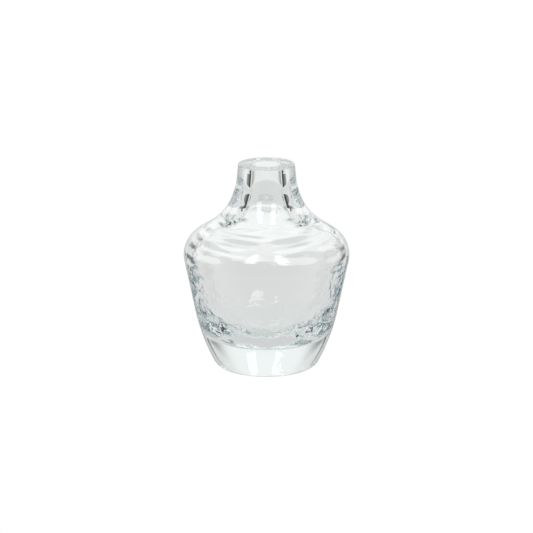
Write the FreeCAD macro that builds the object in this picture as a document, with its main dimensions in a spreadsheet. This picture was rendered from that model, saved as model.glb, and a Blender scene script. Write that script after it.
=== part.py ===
"""Bud vase: one piece of thick clear glass with a ground rim, a narrow neck, a wide shoulder and a solid foot.

Millimetres. +Z is up, and the origin is on the vase's axis, in the plane that the foot stands on.
Each outline is a chain of straight lines with rounded corners, turned about the axis.
"""

import FreeCAD, Part

import math
import os

import Sketcher

OUT = "parts"

# alias: (value, what it is). A corner is where two straight lines would meet before it is rounded.
DIMENSIONS = {
    "total_height": (100.0, "foot plane to rim"),
    "rim_radius": (13.6, "outside of the flat rim"),
    "collar_radius": (14.6, "corner where the upright collar starts to flare"),
    "collar_z": (89.8, "the same corner's height"),
    "collar_round": (14.0, "its rounding"),
    "flare_radius": (19.2, "corner between the flare and the shoulder's slope"),
    "flare_z": (76.1, "the same corner's height"),
    "flare_round": (28.0, "its rounding"),
    "shoulder_radius": (41.4, "corner between the shoulder's slope and the side"),
    "shoulder_z": (61.5, "the same corner's height"),
    "shoulder_round": (13.0, "its rounding"),
    "side_radius": (31.8, "corner where the side turns in towards the foot"),
    "side_z": (15.5, "the same corner's height"),
    "side_round": (95.0, "its rounding"),
    "foot_radius": (23.9, "corner between the side and the foot plane"),
    "foot_round": (6.2, "its rounding"),
    "bore_radius": (7.0, "straight bore down from the rim"),
    "bore_end_z": (94.7, "corner where the bore starts to widen"),
    "bore_end_round": (3.8, "its rounding"),
    "neck_radius": (7.7, "corner halfway down the inside of the neck"),
    "neck_z": (85.4, "the same corner's height"),
    "neck_round": (9.5, "its rounding"),
    "throat_radius": (10.3, "corner between the throat and the cavity's ceiling"),
    "throat_z": (75.6, "the same corner's height"),
    "throat_round": (9.4, "its rounding"),
    "hollow_radius": (36.5, "corner between the cavity's ceiling and its wall"),
    "hollow_z": (59.4, "the same corner's height"),
    "hollow_round": (9.8, "its rounding"),
    "waist_radius": (31.2, "corner where the cavity's wall turns in"),
    "waist_z": (34.0, "the same corner's height"),
    "waist_round": (40.0, "its rounding"),
    "well_radius": (24.3, "corner between the cavity's wall and its floor"),
    "well_z": (15.0, "floor of the cavity, on top of the solid foot"),
    "well_round": (24.0, "rounding between the wall and the floor"),
    "rim_bevel": (0.4, "ground bevel on the rim's two edges"),
}

# Corners from the mouth down to the axis, each as the aliases of its radius, height and rounding.
OUTSIDE = [
    ("rim_radius", "total_height", None),
    ("collar_radius", "collar_z", "collar_round"),
    ("flare_radius", "flare_z", "flare_round"),
    ("shoulder_radius", "shoulder_z", "shoulder_round"),
    ("side_radius", "side_z", "side_round"),
    ("foot_radius", None, "foot_round"),
    (None, None, None),
]
INSIDE = [
    ("bore_radius", "total_height", None),
    ("bore_radius", "bore_end_z", "bore_end_round"),
    ("neck_radius", "neck_z", "neck_round"),
    ("throat_radius", "throat_z", "throat_round"),
    ("hollow_radius", "hollow_z", "hollow_round"),
    ("waist_radius", "waist_z", "waist_round"),
    ("well_radius", "well_z", "well_round"),
    (None, "well_z", None),
]


def fill_sheet(doc):
    """Writes each driving dimension as a row of the sheet, under its alias."""
    sheet = doc.addObject("Spreadsheet::Sheet", "dims")
    for row, (alias, (value, note)) in enumerate(DIMENSIONS.items(), start=1):
        sheet.set(f"A{row}", alias)
        sheet.set(f"B{row}", str(value))
        sheet.set(f"C{row}", note)
        sheet.setAlias(f"B{row}", alias)


def size(alias):
    """A dimension's value. No alias means zero: on the axis, or in the foot plane."""
    return DIMENSIONS[alias][0] if alias else 0.0


def tie(sketch, kind, geometry, alias):
    """Adds a measured constraint that follows the sheet's cell."""
    number = sketch.addConstraint(Sketcher.Constraint(kind, *geometry, size(alias)))
    sketch.setExpression(f"Constraints[{number}]", f"dims.{alias}")


def place(sketch, geometry, end, radius, height):
    """Fixes a point by its distance from the axis and its height over the foot plane."""
    for kind, alias, axis in (("DistanceX", radius, -2), ("DistanceY", height, -1)):
        if alias:
            tie(sketch, kind, (-1, 1, geometry, end), alias)
        else:
            sketch.addConstraint(Sketcher.Constraint("PointOnObject", geometry, end, axis))


def draw_chain(sketch, corners):
    """Draws the sharp chain, closes it along the axis, and returns its lines."""
    points = [FreeCAD.Vector(size(radius), size(height), 0) for radius, height, _ in corners]
    points.append(FreeCAD.Vector(0, points[0].y, 0))
    closed = zip(points, points[1:] + points[:1])
    lines = [sketch.addGeometry(Part.LineSegment(start, end)) for start, end in closed]
    for first, second in zip(lines, lines[1:] + lines[:1]):
        sketch.addConstraint(Sketcher.Constraint("Coincident", first, 2, second, 1))
    sketch.addConstraint(Sketcher.Constraint("Vertical", lines[-2]))
    sketch.addConstraint(Sketcher.Constraint("Horizontal", lines[-1]))
    return lines


def round_corner(sketch, line, radius, height, rounding):
    """Rounds the corner at a line's far end. The sharp corner stays as a point that holds its place."""
    sketch.fillet(line, 2, size(rounding), True, True)
    corner = sketch.GeometryCount - 1
    arc = corner - 1
    place(sketch, corner, 1, radius, height)
    tie(sketch, "Radius", (arc,), rounding)


def draw_outline(body, name, corners):
    """A closed half section on the XZ plane, whose X is the radius and whose Y is the height."""
    sketch = body.newObject("Sketcher::SketchObject", name)
    plane = next(f for f in body.Origin.OriginFeatures if f.Role == "XZ_Plane")
    sketch.AttachmentSupport = (plane, "")
    sketch.MapMode = "FlatFace"
    lines = draw_chain(sketch, corners)
    place(sketch, lines[0], 1, *corners[0][:2])
    place(sketch, lines[-3], 2, *corners[-1][:2])
    for line, corner in zip(lines, corners[1:-1]):
        round_corner(sketch, line, *corner)
    return sketch


def turn(body, kind, name, sketch):
    """Turns an outline once round the axis, to add glass or to cut it away."""
    feature = body.newObject(f"PartDesign::{kind}", name)
    feature.Profile = sketch
    feature.ReferenceAxis = (sketch, ["V_Axis"])
    feature.Angle = 360
    sketch.Visibility = False
    return feature


def is_rim_edge(edge):
    """True for a full circle in the rim's plane."""
    box = edge.BoundBox
    return edge.isClosed() and math.isclose(box.ZMin, size("total_height")) and box.ZLength < 1e-6


def bevel_rim(body, cavity):
    """The small ground bevel on the rim's outer and inner edges."""
    edges = enumerate(cavity.Shape.Edges, start=1)
    rim = [f"Edge{number}" for number, edge in edges if is_rim_edge(edge)]
    bevel = body.newObject("PartDesign::Chamfer", "ground_rim")
    bevel.Base = (cavity, rim)
    bevel.setExpression("Size", "dims.rim_bevel")
    return bevel


def build_vase(doc):
    """The whole vase is one piece of glass: a turned form with a cavity cut down through its neck."""
    body = doc.addObject("PartDesign::Body", "glass_vase")
    body.Label = "glass_vase"
    body.Placement = FreeCAD.Placement()
    form = turn(body, "Revolution", "blown_form", draw_outline(body, "outer_outline", OUTSIDE))
    doc.recompute()
    cavity = turn(body, "Groove", "cavity", draw_outline(body, "inner_outline", INSIDE))
    doc.recompute()
    if not 0 < cavity.Shape.Volume < form.Shape.Volume:
        raise RuntimeError("the cavity didn't remove glass")
    bevel_rim(body, cavity)
    doc.recompute()
    return body


def check(doc):
    """Stops if any object failed to build or any shape is missing or broken."""
    for item in doc.Objects:
        if "Invalid" in item.State or "Error" in item.State:
            raise RuntimeError(f"{item.Label} is {item.State}")
        if hasattr(item, "Shape") and item.isDerivedFrom("PartDesign::Feature"):
            if item.Shape.isNull() or not item.Shape.isValid():
                raise RuntimeError(f"{item.Label} has no sound shape")
        if item.isDerivedFrom("Sketcher::SketchObject") and not item.FullyConstrained:
            raise RuntimeError(f"{item.Label} is not fully constrained")


def main():
    doc = FreeCAD.newDocument("bud_vase")
    fill_sheet(doc)
    doc.recompute()
    body = build_vase(doc)
    check(doc)
    os.makedirs(OUT, exist_ok=True)
    body.Shape.exportStep(os.path.join(OUT, f"{body.Label}.step"))
    print(f"{body.Label}: {body.Shape.Volume / 1000:.1f} cm3")


main()
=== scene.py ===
"""A hand-blown bud vase of thick clear glass, on a white table in a lit tent with black cards.

Metres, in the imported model's frame: the vase stands on z = 0 with its axis up.
Its outlines are given in millimetres, as corners that are then rounded.
"""

import math

import bpy
import numpy as np
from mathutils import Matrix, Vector, noise


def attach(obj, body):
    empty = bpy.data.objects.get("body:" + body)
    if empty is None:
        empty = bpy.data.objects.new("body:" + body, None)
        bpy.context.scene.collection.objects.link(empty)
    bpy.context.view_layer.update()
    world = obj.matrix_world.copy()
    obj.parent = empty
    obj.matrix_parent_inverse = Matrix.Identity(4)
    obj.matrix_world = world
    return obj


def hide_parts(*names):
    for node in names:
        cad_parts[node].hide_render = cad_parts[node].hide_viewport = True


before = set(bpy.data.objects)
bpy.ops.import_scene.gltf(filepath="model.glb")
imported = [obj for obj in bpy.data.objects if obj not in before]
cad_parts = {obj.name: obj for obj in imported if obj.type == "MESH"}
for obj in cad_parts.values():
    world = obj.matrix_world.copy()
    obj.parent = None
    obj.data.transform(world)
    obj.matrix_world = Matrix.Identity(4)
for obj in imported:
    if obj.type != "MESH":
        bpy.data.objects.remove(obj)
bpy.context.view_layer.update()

MM = 0.001

# ---- the vase's outline -------------------------------------------------------------------------

# Corners as radius, height and rounding, from the cavity's floor up through the neck, over the rim,
# and down the outside to the middle of the foot.
RIM = 100.0
CAVITY = [
    (0.0, 15.0, 0), (24.3, 15.0, 24.0), (31.2, 34.0, 40.0), (36.5, 59.4, 9.8),
    (10.3, 75.6, 9.4), (7.7, 85.4, 9.5), (7.0, 94.7, 3.8),
]
LIP = [(7.0, RIM, 0.5), (13.6, RIM, 0.5)]
OUTSIDE = [
    (14.6, 89.8, 14.0), (19.2, 76.1, 28.0), (41.4, 61.5, 13.0),
    (31.8, 15.5, 95.0), (23.9, 0.0, 6.2), (0.0, 0.0, 0),
]

# The skin: how many points go round, and how far apart its rows are in millimetres. They are closer
# on the inside below WORKED_TO, for the hand work, and closer still at the lip's edges.
SEGMENTS = 320
PITCH = 1.15
FINE_PITCH = 0.70
WORKED_TO = 76.0
LIP_PITCH = 0.1
LIP_EASE = 0.25
CHAIN_SAMPLES = 20000

# Hand work, all in millimetres. Each kind of wave has its grain and the seed that sets its pattern.
SPECKS = (1.6, 1)
DIMPLES = (2.4, 2)
SWELLS = (6.0, 3)
SOFT = (11.0, 4)

# Marks left by turning the soft glass against a tool: how fast they change round the vase, how wide
# each is, and their seed.
MARKS_ROUND = 2.0
MARK_WIDTH = 3.6
MARKS_SEED = 5

# How high each kind stands: low on the inside wall, in the hollow under the shoulder, in the throat,
# and on the outside.
LOW_SPECKS, LOW_DIMPLES, LOW_SWELLS, FLOOR_SWELLS = 0.07, 0.11, 0.19, 0.35
HOLLOW_SOFT, HOLLOW_SWELLS, HOLLOW_MARKS, OUT_OF_ROUND = 0.18, 0.08, 0.34, 0.35
THROAT_SOFT = 0.03
OUTER_SOFT, OUTER_MARKS = 0.05, 0.10

# The heights over which each kind comes in or goes out, and for the shoulder the radii too.
LOW_IN, LOW_OUT = (15.2, 17), (34, 64)
FLOOR_OUT = (18, 32)
HOLLOW_IN, HOLLOW_OUT = (42, 52), (64, 76)
THROAT_OUT = (70, 90)
OUTER_IN, OUTER_OUT = (0.3, 4), (82, 96)
SHOULDER_IN, SHOULDER_RADII = (50, 58), (14, 20)


def rounded(corners, steps=24):
    """The chain's points, with each corner swept by its arc."""
    places = [Vector((r, z)) for r, z, _ in corners]
    points = [places[0]]
    for before, corner, after, (_, _, radius) in zip(places, places[1:], places[2:], corners[1:]):
        back, on = (before - corner).normalized(), (after - corner).normalized()
        half = back.angle(on) / 2
        centre = corner + (back + on).normalized() * (radius / math.sin(half))
        first = corner + back * (radius / math.tan(half)) - centre
        last = corner + on * (radius / math.tan(half)) - centre
        for i in range(steps + 1):
            points.append(centre + radius * first.slerp(last, i / steps))
    points.append(places[-1])
    return np.array(points)


def spaced(chain):
    """The chain again, its points close together at the lip's two edges and wider apart elsewhere."""
    run = np.r_[0, np.cumsum(np.linalg.norm(np.diff(chain, axis=0), axis=1))]
    fine = np.linspace(0, run[-1], CHAIN_SAMPLES)
    r, z = np.interp(fine, run, chain[:, 0]), np.interp(fine, run, chain[:, 1])
    edge = np.minimum(np.hypot(r - LIP[0][0], z - RIM), np.hypot(r - LIP[1][0], z - RIM))
    worked = (fine < run[-1] / 2) & (z < WORKED_TO)
    count = np.cumsum(1 / np.minimum(np.where(worked, FINE_PITCH, PITCH), LIP_PITCH + LIP_EASE * edge))
    at = np.interp(np.linspace(count[0], count[-1], round(count[-1] * (fine[1] - fine[0]))), count, fine)
    return np.c_[np.interp(at, fine, r), np.interp(at, fine, z)]


def fade(value, span):
    """0 below the span, 1 above it, smooth between."""
    low, high = span
    t = np.clip((value - low) / (high - low), 0, 1)
    return t * t * (3 - 2 * t)


def waves(points, grain, seed):
    """Smooth noise in -1..1 at each point, with grains of this many millimetres."""
    shift = Vector((seed * 17.3, seed * 5.1, seed * 9.7))
    return np.array([noise.noise(Vector(p) / grain + shift) for p in points])


# ---- hand work ----------------------------------------------------------------------------------

def hand_work(points, radius, height, inside):
    """How far in millimetres the glass stands off its turned form, square to the surface."""
    specks = waves(points, *SPECKS)
    dimples = waves(points, *DIMPLES)
    swells = waves(points, *SWELLS)
    soft = waves(points, *SOFT)
    round_it = points[:, :2] / radius[:, None] * MARKS_ROUND
    marks = waves(np.c_[round_it, (height - radius) / MARK_WIDTH], 1.0, MARKS_SEED)
    oval = (points[:, 1] ** 2 - points[:, 0] ** 2) / radius ** 2

    low = fade(height, LOW_IN) * (1 - fade(height, LOW_OUT))
    floor = 1 - fade(height, FLOOR_OUT)
    swelling = LOW_SWELLS + FLOOR_SWELLS * floor
    within = low * (LOW_SPECKS * specks + LOW_DIMPLES * dimples + swelling * swells)
    within += THROAT_SOFT * (1 - fade(height, THROAT_OUT)) * soft
    hollow = fade(height, HOLLOW_IN) * (1 - fade(height, HOLLOW_OUT))
    worked = HOLLOW_SOFT * soft + HOLLOW_SWELLS * swells + HOLLOW_MARKS * marks + OUT_OF_ROUND * oval
    within += hollow * worked

    shoulder = fade(radius, SHOULDER_RADII) * fade(height, SHOULDER_IN)
    without = fade(height, OUTER_IN) * (1 - fade(height, OUTER_OUT)) * OUTER_SOFT * soft
    without += OUTER_MARKS * shoulder * marks
    return np.where(inside, within, without)


def make_vase():
    """The whole piece as one closed skin, turned round the axis and then worked by hand."""
    chain = spaced(rounded(CAVITY + LIP + OUTSIDE))[1:-1]
    mouth = np.argmax(chain[:, 1])
    bearing = np.linspace(0, 2 * math.pi, SEGMENTS, endpoint=False)
    radius, height = (np.repeat(column[:, None], SEGMENTS, 1).ravel() for column in chain.T)
    out = np.tile(np.c_[np.cos(bearing), np.sin(bearing)], (len(chain), 1))
    run = np.gradient(chain, axis=0)
    run /= np.linalg.norm(run, axis=1)[:, None]
    run = np.repeat(run, SEGMENTS, 0)
    inside = np.repeat(np.arange(len(chain)) < mouth, SEGMENTS)
    points = np.c_[out * radius[:, None], height]
    square = np.c_[out * run[:, 1:], -run[:, 0]]
    points -= square * hand_work(points, radius, height, inside)[:, None]
    points = np.vstack([points, (0, 0, CAVITY[0][1]), (0, 0, 0)]) * MM

    ring = np.arange(SEGMENTS)
    after = np.roll(ring, -1)
    rows = np.arange(len(chain) - 1)[:, None] * SEGMENTS
    quads = np.stack([rows + ring, rows + SEGMENTS + ring, rows + SEGMENTS + after, rows + after], -1)
    last = (len(chain) - 1) * SEGMENTS
    floor_fan = [(len(points) - 2, a, b) for a, b in zip(ring, after)]
    foot_fan = [(len(points) - 1, last + b, last + a) for a, b in zip(ring, after)]
    mesh = bpy.data.meshes.new("worked_glass")
    mesh.from_pydata(points.tolist(), [], quads.reshape(-1, 4).tolist() + floor_fan + foot_fan)
    mesh.shade_smooth()
    vase = bpy.data.objects.new("worked_glass_vase", mesh)
    bpy.context.scene.collection.objects.link(vase)
    return vase


# ---- finishes -----------------------------------------------------------------------------------

class Wire:
    """One output of a node. Sums, differences and products with it add Math nodes to its finish."""

    def __init__(self, finish, socket):
        self.finish = finish
        self.socket = socket

    def __add__(self, other):
        return self.finish.maths("ADD", self, other)

    __radd__ = __add__

    def __sub__(self, other):
        return self.finish.maths("SUBTRACT", self, other)

    def __rsub__(self, other):
        return self.finish.maths("SUBTRACT", other, self)

    def __mul__(self, other):
        return self.finish.maths("MULTIPLY", self, other)

    __rmul__ = __mul__

    def __abs__(self):
        return self.finish.maths("ABSOLUTE", self)


class Finish:
    """A material that starts empty, and the nodes that are added to it."""

    def __init__(self, name):
        self.material = bpy.data.materials.new(name)
        self.material.use_nodes = True
        self.tree = self.material.node_tree
        self.tree.nodes.clear()

    def node(self, kind, settings=None, sockets=None, out=0):
        """Adds a node, settings first and then each socket's value or wire. Gives one output's wire."""
        made = self.tree.nodes.new(f"ShaderNode{kind}")
        for name, value in (settings or {}).items():
            setattr(made, name, value)
        for name, value in (sockets or {}).items():
            if isinstance(value, Wire):
                self.tree.links.new(value.socket, made.inputs[name])
            else:
                made.inputs[name].default_value = value
        return Wire(self, made.outputs[out]) if made.outputs else None

    def maths(self, operation, *values):
        return self.node("Math", {"operation": operation}, dict(enumerate(values)))

    def place(self):
        """Where the point is on its object: x, y and z in metres."""
        here = self.node("TexCoord", out="Object")
        return [self.node("SeparateXYZ", sockets={"Vector": here}, out=axis) for axis in "XYZ"]

    def ramp(self, value, span, start=0.0, end=1.0):
        """Eases from start to end as the value crosses the span."""
        low, high = span
        return self.node(
            "MapRange", {"interpolation_type": "SMOOTHSTEP"},
            {"Value": value, "From Min": low, "From Max": high, "To Min": start, "To Max": end},
        )

    def shine(self, surface, volume=None):
        """Sends a shader, and what is inside the surface, to the material's output."""
        inside = {"Volume": volume} if volume else {}
        self.node("OutputMaterial", sockets={"Surface": surface, **inside})
        return self.material


# The glass: its colour seen face on, and the painted shade that darkens it seen edge on, where it faces
# this far away from the eye.
CLEAR = (0.985, 0.99, 0.99, 1)
PAINTED_EDGE_SHADE = (0.03, 0.07, 0.09, 1)
PAINTED_SHADE_FACING = (0.70, 0.93)
REFRACTION = 1.52
TINT = (0.74, 0.80, 0.82, 1)
TINT_DENSITY = 9.0

# Where the rim and the foot are ground, by height in metres, and how rough each is.
GROUND_RIM = (0.0994, 0.0999)
GROUND_FOOT = (0.0001, 0.0004)
RIM_ROUGH, RIM_CLOUD, FOOT_ROUGH = 0.06, 0.08, 0.05
CLOUD_SCALE, CLOUD_DETAIL = 160.0, 3.0


def clear_glass():
    """Thick clear glass: fire-polished, but ground on the rim and under the foot."""
    f = Finish("clear_glass")
    z = f.place()[2]
    rim = f.ramp(z, GROUND_RIM)
    foot = f.ramp(z, GROUND_FOOT, 1, 0)
    grain = {"Scale": CLOUD_SCALE, "Detail": CLOUD_DETAIL}
    cloud = f.node("TexNoise", {"noise_dimensions": "3D"}, grain, "Fac")
    # Painted shade: the glass's colour is blended towards a dark blue-grey where the surface turns edge
    # on, darkening its outlines.
    edge = f.ramp(f.node("LayerWeight", sockets={"Blend": 0.5}, out="Facing"), PAINTED_SHADE_FACING)
    color = f.node("Mix", {"data_type": "RGBA"}, {"Factor": edge, 6: CLEAR, 7: PAINTED_EDGE_SHADE}, 2)
    body = f.node("BsdfPrincipled", sockets={
        "Base Color": color,
        "Roughness": rim * (RIM_ROUGH + RIM_CLOUD * cloud) + foot * FOOT_ROUGH,
        "IOR": REFRACTION,
        "Transmission Weight": 1.0,
    })
    tint = f.node("VolumeAbsorption", sockets={"Color": TINT, "Density": TINT_DENSITY})
    return f.shine(body, tint)


# ---- the table and its lights --------------------------------------------------------------------

# Bearings are in degrees round the vase: 0 is straight behind it, and 180 is the camera's side.
# Each surface's brightness is a list of (bearing, brightness).
PAPER = (0.985, 1.0, 0.985, 1)
WALL_RADIUS = 0.270
WALL_HEIGHT = 0.7
WALL_GLOW = [(0, 0.92), (15, 0.90), (50, 0.80), (75, 0.95), (105, 0.90), (130, 0.60), (160, 0.58)]
ROOF_RADIUS = 2.5
ROOF_RISE = range(-20, 95, 5)
ROOF_GLOW = [(0, 1.0), (60, 0.9), (120, 0.8)]

# The brighter spot on the wall: its brightness, the heights where it starts and stops, and the
# bearings where it ends.
SPOT_GLOW = 0.14
SPOT_IN, SPOT_OUT, SPOT_SIDE = (0.01, 0.05), (0.20, 0.26), (18, 32)

# The painted shade low on the wall's sides: how much darker it makes the wall, the heights where it
# stops, and the bearings where it starts and ends.
SHADE = 0.62
SHADE_TOP, SHADE_IN, SHADE_OUT = (0.07, 0.10), (24, 44), (70, 77)

# The table: its glow, the brighter far edge that sweeps up to the wall, and the soft blue-grey patch of
# painted shade on each side, by bearing and by distance from the vase.
TABLE_REACH = 3.0
TABLE_GAP = 0.0002
TABLE_GLOW = [(0, 0.75), (20, 0.76), (60, 0.74), (100, 0.72), (140, 0.68)]
SWEEP_GLOW = 0.17
SWEEP_FAR, SWEEP_SIDE = (0.235, 0.262), (30, 50)
PAINTED_TABLE_SHADE = (0.27, 0.38, 0.44, 1)
PATCH_IN, PATCH_OUT = (35, 43), (63, 69)
PATCH_NEAR, PATCH_FAR = (0.102, 0.112), (0.150, 0.170)

# Cards and light panels just inside the wall, one of each on each side: first and last bearing, and
# lower and upper height.
BLACK_CARD = (57, 72, 0.0, 0.08)
TALL_CARD = (50, 57, 0.06, 0.18)
LIGHT_PANEL = (147, 163, 0.20, 0.65)
STAND_GAP = 0.003
CARD_GLOW = 0.0
PANEL_GLOW = 4.2


def bearing_of(x, y):
    """The bearing of a point, in degrees, the same on the left and the right."""
    return x.finish.maths("ARCTAN2", abs(x), y) * (180 / math.pi)


def glow_along(finish, bearing, stops):
    """Brightness that eases from stop to stop along the bearing."""
    value = stops[0][1]
    for (low, start), (high, end) in zip(stops, stops[1:]):
        value = value + finish.ramp(bearing, (low, high), 0, end - start)
    return value


def glowing(name, stops, backdrop=False):
    """Paper that glows by bearing. A backdrop has the bright spot and the low darker sides as well."""
    f = Finish(name)
    x, y, z = f.place()
    bearing = bearing_of(x, y)
    strength = glow_along(f, bearing, stops)
    if backdrop:
        spot = f.ramp(z, SPOT_IN) * f.ramp(z, SPOT_OUT, 1, 0) * f.ramp(bearing, SPOT_SIDE, 1, 0)
        # Painted shade: the wall glows darker low down on its sides.
        shade = f.ramp(z, SHADE_TOP, 1, 0) * f.ramp(bearing, SHADE_IN) * f.ramp(bearing, SHADE_OUT, 1, 0)
        strength = strength + SPOT_GLOW * spot - SHADE * shade
    return f.shine(f.node("Emission", sockets={"Color": PAPER, "Strength": strength}))


def white_table():
    """The table shows pure white, and lights the glass with a softer grey."""
    f = Finish("white_table")
    x, y, _ = f.place()
    bearing = bearing_of(x, y)
    across = f.maths("SQRT", x * x + y * y)
    sweep = f.ramp(across, SWEEP_FAR) * f.ramp(bearing, SWEEP_SIDE, 1, 0)
    strength = glow_along(f, bearing, TABLE_GLOW) + SWEEP_GLOW * sweep
    # Painted shade: a soft blue-grey patch on each side of the table, seen only through the glass.
    patch = f.ramp(bearing, PATCH_IN) * f.ramp(bearing, PATCH_OUT, 1, 0)
    patch = patch * f.ramp(across, PATCH_NEAR) * f.ramp(across, PATCH_FAR, 1, 0)
    color = f.node("Mix", {"data_type": "RGBA"}, {"Factor": patch, 6: PAPER, 7: PAINTED_TABLE_SHADE}, 2)
    seen = f.node("LightPath", out="Is Camera Ray")
    grey = f.node("Emission", sockets={"Color": color, "Strength": strength})
    white = f.node("Emission", sockets={"Color": (1, 1, 1, 1), "Strength": 1.0})
    return f.shine(f.node("MixShader", sockets={0: seen, 1: grey, 2: white}))


def plain_glow(name, strength):
    f = Finish(name)
    return f.shine(f.node("Emission", sockets={"Color": PAPER, "Strength": strength}))


def sheet_of(name, rows, finish, turntable):
    """A stage surface from rows of points. The camera sees it only through the glass."""
    wide = len(rows[0])
    faces = [
        (i * wide + j, i * wide + j + 1, (i + 1) * wide + j + 1, (i + 1) * wide + j)
        for i in range(len(rows) - 1)
        for j in range(wide - 1)
    ]
    mesh = bpy.data.meshes.new(name)
    mesh.from_pydata([point for row in rows for point in row], [], faces)
    mesh.materials.append(finish)
    sheet = bpy.data.objects.new(name, mesh)
    bpy.context.scene.collection.objects.link(sheet)
    sheet.parent = turntable
    sheet.visible_camera = False
    return sheet


def arc(radius, height, start, end, steps=48):
    """Points on a level arc round the vase, from one bearing to another."""
    turns = [math.radians(start + (end - start) * i / steps) for i in range(steps + 1)]
    return [(radius * math.sin(turn), radius * math.cos(turn), height) for turn in turns]


def both_sides(start, end):
    return (("right", start, end), ("left", -end, -start))


def build_studio(turntable):
    wall = [arc(WALL_RADIUS, height, -180, 180, 180) for height in (0, WALL_HEIGHT)]
    sheet_of("tent_wall", wall, glowing("tent_wall", WALL_GLOW, backdrop=True), turntable)
    rise = [math.radians(angle) for angle in ROOF_RISE]
    dome = [arc(ROOF_RADIUS * math.cos(a), ROOF_RADIUS * math.sin(a), -180, 180, 90) for a in rise]
    sheet_of("tent_roof", dome, glowing("tent_roof", ROOF_GLOW), turntable)
    black = plain_glow("black_card", CARD_GLOW)
    bright = plain_glow("light_panel", PANEL_GLOW)
    stands = (
        ("black_card", black, BLACK_CARD),
        ("tall_card", black, TALL_CARD),
        ("light_panel", bright, LIGHT_PANEL),
    )
    for name, finish, (start, end, low, high) in stands:
        for side, first, last in both_sides(start, end):
            rows = [arc(WALL_RADIUS - STAND_GAP, height, first, last) for height in (low, high)]
            sheet_of(f"{name}_{side}", rows, finish, turntable)
    corners = [[(x * TABLE_REACH, y * TABLE_REACH, -TABLE_GAP) for x in (-1, 1)] for y in (-1, 1)]
    table = sheet_of("table", corners, white_table(), turntable)
    table.visible_camera = True


# ---- camera --------------------------------------------------------------------------------------

# It looks down by TILT from STANDOFF metres away, at the height AIM on the vase's axis.
TILT = math.radians(15)
STANDOFF = 1.45
AIM = 0.0491
LENS = 203.3
SENSOR = 36


def place_camera():
    lens = bpy.data.cameras.new("camera")
    lens.sensor_width = SENSOR
    lens.lens = LENS
    camera = bpy.data.objects.new("camera", lens)
    bpy.context.scene.collection.objects.link(camera)
    camera.location = (0, -STANDOFF * math.cos(TILT), AIM + STANDOFF * math.sin(TILT))
    camera.rotation_euler = (math.pi / 2 - TILT, 0, 0)
    bpy.context.scene.camera = camera
    return camera


def make_turntable(camera):
    """The studio stands on it and turns with the camera, as if the vase were turned instead."""
    turntable = bpy.data.objects.new("turntable", None)
    bpy.context.scene.collection.objects.link(turntable)
    follow = turntable.constraints.new("LOCKED_TRACK")
    follow.target = camera
    follow.track_axis = "TRACK_NEGATIVE_Y"
    follow.lock_axis = "LOCK_Z"
    return turntable


# Light goes round and round inside the thick foot before it leaves, so it needs many bounces.
LIGHT_BOUNCES = 64


def set_scene():
    scene = bpy.context.scene
    scene.view_settings.view_transform = "Standard"
    scene.cycles.max_bounces = LIGHT_BOUNCES
    scene.cycles.transmission_bounces = LIGHT_BOUNCES
    scene.cycles.glossy_bounces = LIGHT_BOUNCES
    world = bpy.data.worlds.new("white_room")
    world.use_nodes = True
    world.node_tree.nodes["Background"].inputs["Color"].default_value = (1, 1, 1, 1)
    scene.world = world


vase = make_vase()
vase.data.materials.append(clear_glass())
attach(vase, "root")
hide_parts("glass_vase")
build_studio(make_turntable(place_camera()))
set_scene()
